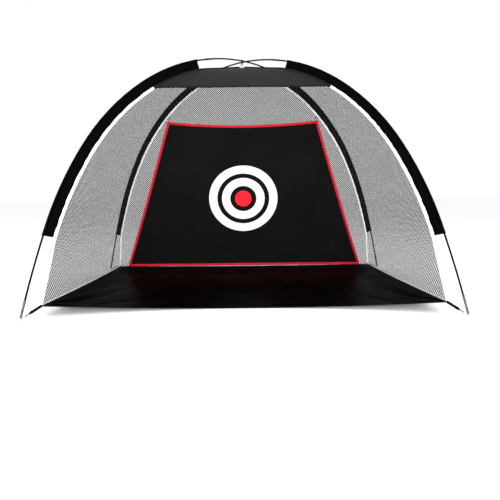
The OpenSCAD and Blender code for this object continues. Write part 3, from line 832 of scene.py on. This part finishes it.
def floor_cover(look, hem_look):
    u, v = np.meshgrid(np.linspace(0, 1, 220), np.linspace(0, 1, 120), indexing="ij")
    u, v = mix(u, 0.5 - 0.5 * np.cos(math.pi * u), 0.45), mix(v, 0.5 - 0.5 * np.cos(math.pi * v), 0.45)
    points = floor_surface(u, v)
    piece = cloth_grid("floor_cover", points, look, points[..., :2], 0.0009)
    settle(piece, "dome", "floor_cloth", "floor_sheet")
    front_hem(hem_look)


# ---- The target ----

TARGET_LEAN = math.atan2(TARGET_BACK - TARGET_Y, TARGET_H - TARGET_LOW)
TARGET_L = math.hypot(TARGET_BACK - TARGET_Y, TARGET_H - TARGET_LOW)
TARGET_SAG = 0.043
PRINT_H = 0.815
PRINT_RADII = {"outer": (0.278, 0.365), "inner": (0.140, 0.228), "centre": (0.0, 0.088)}


def begins(r):
    """How far a fold has risen at the distance r from its corner: nothing under the tape, then in full."""
    return np.clip((r - TARGET_TAPE) / 0.12, 0, 1) ** 1.5


def target_folds(x, v):
    """How far the cloth stands in front of the target's plane: folds that fan out from the ties, a swag
    below the sagging top edge, and a slow billow."""
    d = v * (TARGET_L - TIE_L)
    total = 0.0035 * (1 + waves(x, d, 71, 0.55)) + 0.0010 * waves(x, d, 72, 0.16)
    for side in (-1, 1):
        r = np.hypot(x - side * TARGET_TOP, d) + 1e-6
        angle = np.arctan2(d, -side * (x - side * TARGET_TOP))
        fan = 0.5 + 0.5 * np.cos(angle * 11 + 2.2 * r + side)
        total = total + 0.011 * fan * begins(r) * np.exp(-r / 0.42)
        low = np.hypot(x - side * TARGET_BOTTOM, TARGET_L - TIE_L - d) + 1e-6
        angle = np.arctan2(TARGET_L - TIE_L - d, -side * (x - side * TARGET_BOTTOM))
        fan = 0.5 + 0.5 * np.cos(angle * 12 + 3.0 * low)
        total = total + 0.008 * fan * begins(low) * np.exp(-low / 0.30)
    swag = 0.5 - 0.5 * np.cos(2 * math.pi * np.clip(v / 0.09, 0, 1))
    return total + 0.006 * swag * np.clip(1 - (x / TARGET_TOP) ** 2, 0, 1)


def target_point(across, v, proud=0.0):
    """A point of the target: across runs from -1 to 1 between its sides, v from 0 at its top to 1."""
    half = mix(TARGET_TOP, TARGET_BOTTOM, v) * (1 - 0.005 * np.sin(math.pi * v))
    x = across * half
    sag = TARGET_SAG * (1 - across ** 2) * (1 - v) ** 2.2
    d = TIE_L + v * (TARGET_L - TIE_L) + sag
    front = target_folds(x, v) + proud
    y = TARGET_Y + d * math.sin(TARGET_LEAN) - front * math.cos(TARGET_LEAN)
    z = TARGET_H - d * math.cos(TARGET_LEAN) - front * math.sin(TARGET_LEAN)
    return np.stack(np.broadcast_arrays(x, y, z), -1)


def target_place(x, down):
    """The across and v of a point given by its x and its distance down from the top edge."""
    v = down / (TARGET_L - TIE_L)
    half = mix(TARGET_TOP, TARGET_BOTTOM, v) * (1 - 0.005 * np.sin(math.pi * v))
    return x / half, v


def target_print(name, radii, centre_down, look):
    """A printed ring or disc that lies on the cloth."""
    a = np.linspace(0, 2 * math.pi, 145)[:-1]
    r = np.linspace(max(radii[0], 0.002), radii[1], 10)
    r, a = np.meshgrid(r, a, indexing="ij")
    x, down = r * np.cos(a), centre_down + r * np.sin(a)
    across, v = target_place(x, down)
    points = target_point(across, v, 0.0011)
    faces = grid_faces(*r.shape, closed=True)
    if radii[0] == 0:
        faces.append(list(range(r.shape[1]))[::-1])
    piece = make(name, points, faces, look, np.stack([x, down], -1))
    return settle(piece, "target", "target_cloth")


def target_edges():
    """The four sides of the target as runs of (across, v), from corner to corner."""
    run = np.linspace(0, 1, 110)
    one = np.ones_like(run)
    return {
        "top": (2 * run - 1, 0 * run, (0, 1)),
        "right": (one, run, (-1, 0)),
        "bottom": (1 - 2 * run, one, (0, -1)),
        "left": (-one, 1 - run, (1, 0)),
    }


def target_tape(look):
    """The red tape folded round the target's edge, with mitred corners, as one mesh."""
    points, faces, uv = [], [], []
    inset = TARGET_TAPE
    for across, v, inner in target_edges().values():
        mitre = np.linspace(0, 1, len(across))
        rows = []
        for share, proud in ((0, 0.0), (0.04, 0.0013), (0.5, 0.0016), (1, 0.0011),
                             (1, 0.0), (1, -0.0011), (0.5, -0.0014), (0.04, -0.0013)):
            depth = inset * share
            dv = depth / (TARGET_L - TIE_L)
            if inner[1]:
                vv = np.clip(v + inner[1] * dv, 0, 1)
                half = mix(TARGET_TOP, TARGET_BOTTOM, vv)
                aa = across * (1 - depth / half)
            else:
                vv = mix(dv, 1 - dv, v)
                half = mix(TARGET_TOP, TARGET_BOTTOM, vv)
                aa = across * (1 - depth / half)
            rows.append(target_point(aa, vv, proud))
        block = np.stack(rows, 1)
        n, m = block.shape[:2]
        faces += grid_faces(n, m, closed=True, start=sum(len(p) for p in points))
        length = np.linalg.norm(block[-1, 0] - block[0, 0])
        across_tape = np.array([0, 0.04, 0.5, 1, 1, 1, 0.5, 0.04]) * inset
        uv.append(np.stack(np.broadcast_arrays(across_tape[None, :], (mitre * length)[:, None]),
                           -1).reshape(-1, 2))
        points.append(block.reshape(-1, 3))
    piece = make("target_tape", np.vstack(points), faces, look, np.vstack(uv))
    return settle(piece, "target", "red_tape", "target_edge")


def target(looks):
    across, v = np.meshgrid(np.linspace(-0.997, 0.997, 190), np.linspace(0.002, 0.998, 130), indexing="ij")
    points = target_point(across, v)
    uv = np.stack([points[..., 0], v * (TARGET_L - TIE_L)], -1)
    piece = cloth_grid("target_panel", points, looks["target"], uv, 0.0008)
    settle(piece, "target", "target_cloth", "target_cloth")
    down = (TARGET_H - PRINT_H) / math.cos(TARGET_LEAN) - TIE_L
    prints = [target_print("print_" + name, radii, down,
                           looks["red_print" if name == "centre" else "white_print"])
              for name, radii in PRINT_RADII.items()]
    edge = target_tape(looks["red_tape"])


# ---- Ties, straps and the lashing at the crossing ----

def tie_line(side, down):
    """A point on a top tie, down from the line of the swing."""
    x = side * (TARGET_TOP - TIE_IN)
    return np.array([x, TARGET_Y + down * math.sin(TARGET_LEAN), TARGET_H - down * math.cos(TARGET_LEAN)])


def top_tie(name, side, look):
    """The cord from the target's corner up through the toggle, with a stopper knot above it."""
    corner = target_point(np.array(side * 0.985), np.array(0.012), 0.003)
    path = [tie_line(side, -0.0052), tie_line(side, 0.004), tie_line(side, 0.013),
            mix(tie_line(side, 0.020), corner, 0.3), corner + [0, -0.002, 0.002],
            corner + [-side * 0.003, 0.001, -0.010]]
    stopper = knot(tie_line(side, -0.0074), 0.0030, (0.3, 0.2, 0.5 * side))
    return settle(cords(name, [path, stopper], 0.0028, look), "target", "cord",
                  "tie_top_" + name.split("_")[-1])


def seam_loop(name, side, look):
    """The loop of cord on the seam that the toggle lies in, with its knot."""
    corner = "back_right" if side > 0 else "back_left"
    held = seam(corner, np.array(seam_place(TARGET_H + 0.012, "back")), SEAM_IN + 0.004)
    middle = tie_line(side, 0)
    front = middle + [side * 0.0065, -0.0056, 0.0]
    back = middle + [side * 0.0065, 0.0056, 0.0]
    under = middle + [side * 0.0065, 0.0, -0.0056]
    over = middle + [side * 0.0065, 0.0, 0.0056]
    gather = mix(held, middle, 0.35)
    path = [held, gather, over, front, under, back, gather + [0, 0.0015, -0.002], held + [0, 0.0, -0.006]]
    tie = knot(mix(held, gather, 0.6), 0.0040, (0.9, 0.1, 0.4))
    return settle(cords(name, [path, tie], 0.0024, look), "dome", "cord")


def low_tie_end(side):
    """Where a low tie meets its loop at the floor corner."""
    return np.array([side * (TARGET_BOTTOM + 0.024), TARGET_BACK + 0.003, TARGET_LOW + 0.003])


def low_tie(name, side, look):
    """The cord that holds the target's lower corner to the seam at the floor corner."""
    start = np.array([side * (TARGET_BOTTOM - 0.008), TARGET_BACK - 0.003, TARGET_LOW + 0.006])
    end = low_tie_end(side)
    path = [start, mix(start, end, 0.35) + [0, -0.002, -0.002], mix(start, end, 0.7) + [0, 0, -0.001], end]
    bow = knot(mix(start, end, 0.7), 0.0050, (1.2, 0.0, 0.7))
    tail = [mix(start, end, 0.7), mix(start, end, 0.7) + [0, -0.006, 0.006],
            mix(start, end, 0.9) + [0, -0.012, 0.002]]
    return settle(cords(name, [path, bow, tail], 0.0028, look), "target", "cord",
                  "tie_low_" + name.split("_")[-1])


def corner_loop(name, side, look):
    """The loop of cord, sewn to the seam at the floor corner, that the low tie is knotted to."""
    sewn = corner_point("back_right" if side > 0 else "back_left") + [0, 0, 0.012]
    end = low_tie_end(side)
    over, under = end + [side * 0.001, 0.001, 0.0034], end + [side * 0.001, -0.001, -0.0034]
    path = [sewn, mix(sewn, over, 0.6), over, end + [-side * 0.004, 0, 0], under,
            mix(sewn, under, 0.6), sewn - [0, 0, 0.004]]
    return settle(cords(name, [path], 0.0024, look), "dome", "cord")


def ring_line(corner):
    """The middle of a ground ring, and the unit vector of the strap's pull from it."""
    low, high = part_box("ring_" + corner)
    middle = np.array((low + high) / 2)
    pull = corner_point(corner) - middle
    return middle, pull / np.linalg.norm(pull)


def strap(corner, look):
    """Webbing from the floor corner to the ground ring. It stands on edge at the corner, turns flat and
    narrows towards the ring, and is sewn back on itself round the ring's wire."""
    middle, pull = ring_line(corner)
    level = upright(corner) * np.sign(upright(corner)[1])
    above = np.cross(pull, level)
    above = above * np.sign(above[2])
    wire = middle + pull * 0.0188
    run = np.linalg.norm(corner_point(corner) - wire) + STRAP_SEWN
    turn = np.radians(np.linspace(90, 270, 11))
    loop = [(0.0043 * math.cos(a), 0.0043 * math.sin(a)) for a in turn]
    outer = [(x, 0.0014) for x in np.linspace(run, 0.012, 26)]
    inner = [(x, -0.0014) for x in np.linspace(0.012, min(run, 0.062), 16)]
    reach, offset = np.array([*outer, *loop, *inner]).T
    opened = np.clip((reach - 0.012) / 0.024, 0, 1)
    opened = opened * opened * (3 - 2 * opened)
    twist = (opened * math.pi / 2)[:, None]
    side = np.cos(twist) * level + np.sin(twist) * above
    normal = np.cos(twist) * above - np.sin(twist) * level
    path = wire + pull * reach[:, None] + normal * offset[:, None]
    up = unit(np.cross(unit(np.gradient(path, axis=0)), side))
    points, uv = band(path, side, up, mix(0.009, STRAP_W, opened), 0.0016)
    n, m = points.shape[:2]
    ends = [list(range(m)), list(range((n - 1) * m, n * m))[::-1]]
    piece = make("corner_strap_" + corner, points, grid_faces(n, m, closed=True) + ends, look, uv)
    return settle(piece, "dome", "webbing", "strap_" + corner)


def lashing(look):
    """The cord round the two crossed poles, its knot and loose ends, and the two runs to the peak."""
    r = POLE_D + 0.0030
    a = np.linspace(0, 2 * math.pi * 3, 60)
    wrap = np.stack([np.linspace(-0.0045, 0.0045, 60), r * np.sin(a),
                     CROSS_H + (r + 0.0006) * np.cos(a)], -1)
    tied = np.array([0, -0.001, CROSS_H - r - 0.004])
    peak = np.array([0, 0, PEAK[1] + 0.001])
    runs = [[tied + [s * 0.002, 0, 0], mix(tied, peak, 0.5) + [s * 0.004, 0, 0],
             peak + [s * 0.012, 0, 0]] for s in (-1, 1)]
    tails = [[tied + [-0.004, -0.002, 0], tied + [-0.012, -0.008, -0.008], tied + [-0.014, -0.010, -0.026]],
             [tied + [0.003, -0.003, 0], tied + [0.008, -0.010, -0.010], tied + [0.006, -0.012, -0.020]]]
    piece = cords("crossing_lashing", [wrap, knot(tied, 0.0062, (1.3, 0.2, 0.0)), *runs, *tails],
                  0.0028, look)
    return settle(piece, "dome", "cord", "crossing_tie")


# ---- The finishes of the CAD nodes, and the studio ----

def dress(looks):
    kinds = {"pole_a_ferrules": "ferrule", "pole_b_ferrules": "ferrule", "shock_cord": "cord",
             "pole_": "fibreglass", "tip_": "tip", "pin_": "wire", "ring_": "plated", "toggle_": "plastic"}
    for name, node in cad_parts.items():
        for start, kind in kinds.items():
            if name.startswith(start):
                node.data.materials.clear()
                node.data.materials.append(looks[kind])
                break


def area_light(name, where, at, size, power):
    data = bpy.data.lights.new(name, "AREA")
    data.shape = "RECTANGLE"
    data.size, data.size_y = size
    data.energy = power
    light = bpy.data.objects.new(name, data)
    light.location = where
    light.rotation_euler = (Vector(at) - Vector(where)).to_track_quat("-Z", "Y").to_euler()
    bpy.context.scene.collection.objects.link(light)


def studio():
    side = 60.0
    corners = np.array([[-side, -side, 0], [side, -side, 0], [side, side, 0],
                        [-side, side, 0]]) - [0, 0, 0.0005]
    ground = make("studio_floor", corners, [(0, 1, 2, 3)], floor_look())
    world = bpy.data.worlds.new("studio")
    world.use_nodes = True
    back = world.node_tree.nodes["Background"]
    back.inputs["Color"].default_value = rgb(1.0, 1.0, 1.0)
    back.inputs["Strength"].default_value = 1.0
    bpy.context.scene.world = world
    area_light("key_light", (-2.5, -4.5, 5.0), (0, 0, 0.9), (3.5, 3.5), 70)
    area_light("side_light", (4.5, -2.0, 3.5), (0, 0, 0.8), (2.5, 2.5), 70)
    area_light("top_light", (0.0, 1.5, 5.5), (0, 0, 0.5), (4.0, 2.5), 60)
    area_light("front_light", (0.0, -6.0, 2.0), (0, 0, 0.9), (5.0, 2.0), 330)
    bpy.context.scene.view_settings.view_transform = "Standard"


def camera():
    data = bpy.data.cameras.new("camera")
    data.lens = 23.5
    data.shift_x = 0.0134
    data.shift_y = -0.109
    piece = bpy.data.objects.new("camera", data)
    piece.matrix_world = (Matrix.Translation((0.0, -2.98, 0.838)) @ Matrix.Rotation(math.radians(90), 4, "X")
                          @ Matrix.Rotation(math.radians(-0.56), 4, "Z"))
    bpy.context.scene.collection.objects.link(piece)
    bpy.context.scene.camera = piece


def build():
    camera()
    looks = make_looks()
    bindings = {corner: binding(corner, looks) for corner in CORNERS}
    nets(looks)
    for corner in CORNERS:
        sleeve(corner, looks["sleeve"])
        strap(corner, looks["webbing"])
    visor(looks["visor"], looks["visor_edge"])
    floor_cover(looks["floor"], looks["black_tape"])
    target(looks)
    for name, side in SIDES.items():
        top_tie("target_tie_" + name, side, looks["cord"])
        seam_loop("seam_loop_" + name, side, looks["cord"])
        low_tie("low_tie_" + name, side, looks["cord"])
        corner_loop("corner_loop_" + name, side, looks["cord"])
    lashing(looks["cord"])
    dress(looks)
    studio()


build()
